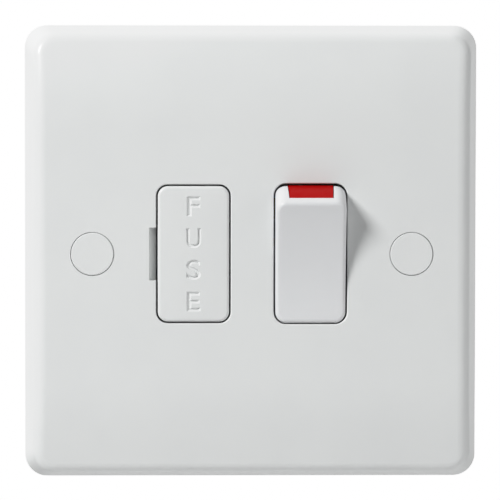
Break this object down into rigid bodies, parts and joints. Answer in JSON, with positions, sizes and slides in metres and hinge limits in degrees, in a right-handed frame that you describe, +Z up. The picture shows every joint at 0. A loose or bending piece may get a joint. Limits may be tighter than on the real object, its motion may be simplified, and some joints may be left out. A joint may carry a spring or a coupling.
{
  "type": "fused spur unit",
  "caption": "Square white flush wall plate with a rocker switch and a pull-out fuse carrier in front of a terminal housing, for wiring a fixed appliance through a fuse.",
  "frame": {"origin": "midway between the two fixing screws, on the wall plane at the plate's rear rim", "axes": "+X to the right as the face is seen, +Y back into the wall, +Z up; the face looks along -Y"},
  "size_m": [0.086, 0.0353, 0.086],
  "materials": {
    "white_moulding": "gloss white",
    "housing_moulding": "satin white",
    "red_flash": "gloss red",
    "brass": "plain brass",
    "silver_tip": "silver alloy",
    "plated_steel": "zinc plated",
    "plunger_moulding": "natural nylon",
    "fuse_ceramic": "unglazed",
    "fuse_plating": "nickel plated"
  },
  "bodies": {
    "unit": {"front_plate": "white_moulding", "left_screw_cap": "white_moulding", "right_screw_cap": "white_moulding", "rear_housing": "housing_moulding", "supply_earth_terminal": "brass", "supply_live_terminal": "brass", "supply_neutral_terminal": "brass", "load_earth_terminal": "brass", "load_live_terminal": "brass", "load_neutral_terminal": "brass", "earth_strap": "brass", "live_fixed_contact": "brass", "neutral_fixed_contact": "brass", "live_pivot_strip": "brass", "neutral_pivot_strip": "brass", "load_live_strip": "brass", "upper_fuse_fork": "brass", "lower_fuse_fork": "brass", "fixed_contact_tips": "silver_tip", "fixing_screws": "plated_steel", "assembly_screws": "plated_steel", "terminal_screws": "plated_steel"},
    "switch_rocker": {"rocker": "white_moulding", "rocker_flash": "red_flash", "live_plunger_spring": "plated_steel", "neutral_plunger_spring": "plated_steel"},
    "live_pusher": {"live_plunger": "plunger_moulding"},
    "neutral_pusher": {"neutral_plunger": "plunger_moulding"},
    "live_contact": {"live_contact_bar": "brass", "live_moving_tip": "silver_tip"},
    "neutral_contact": {"neutral_contact_bar": "brass", "neutral_moving_tip": "silver_tip"},
    "fuse_drawer": {"fuse_carrier": "white_moulding", "fuse_barrel": "fuse_ceramic", "fuse_end_caps": "fuse_plating"}
  },
  "joints": [
    {"name": "rocker_tilt", "type": "hinge", "parent": "unit", "child": "switch_rocker", "pos_m": [0.01105, -0.0057, 0], "axis": [1, 0, 0], "range_deg": [-26.4, 0]},
    {"name": "fuse_carrier_slide", "type": "slide", "parent": "unit", "child": "fuse_drawer", "axis": [0, -1, 0], "range_m": [0, 0.0138]},
    {"name": "live_contact_rock", "type": "hinge", "parent": "unit", "child": "live_contact", "pos_m": [0.00765, 0.00595, 0], "axis": [1, 0, 0], "range_deg": [0, 36]},
    {"name": "live_plunger_slide", "type": "slide", "parent": "switch_rocker", "child": "live_pusher", "axis": [0, -0.9736, -0.2284], "range_m": [0, 0.0008], "stiffness_N_per_m": 500, "springref_m": -0.003, "deforming": ["live_plunger_spring"]},
    {"name": "neutral_contact_rock", "type": "hinge", "parent": "unit", "child": "neutral_contact", "pos_m": [0.01445, 0.00595, 0], "axis": [1, 0, 0], "range_deg": [0, 36]},
    {"name": "neutral_plunger_slide", "type": "slide", "parent": "switch_rocker", "child": "neutral_pusher", "axis": [0, -0.9736, -0.2284], "range_m": [0, 0.0008], "stiffness_N_per_m": 500, "springref_m": -0.003, "deforming": ["neutral_plunger_spring"]}
  ],
  "couplings": [
    {"joint": "live_contact_rock", "follows": "rocker_tilt", "ratio": -0.83333},
    {"joint": "neutral_contact_rock", "follows": "rocker_tilt", "ratio": -0.83333}
  ]
}
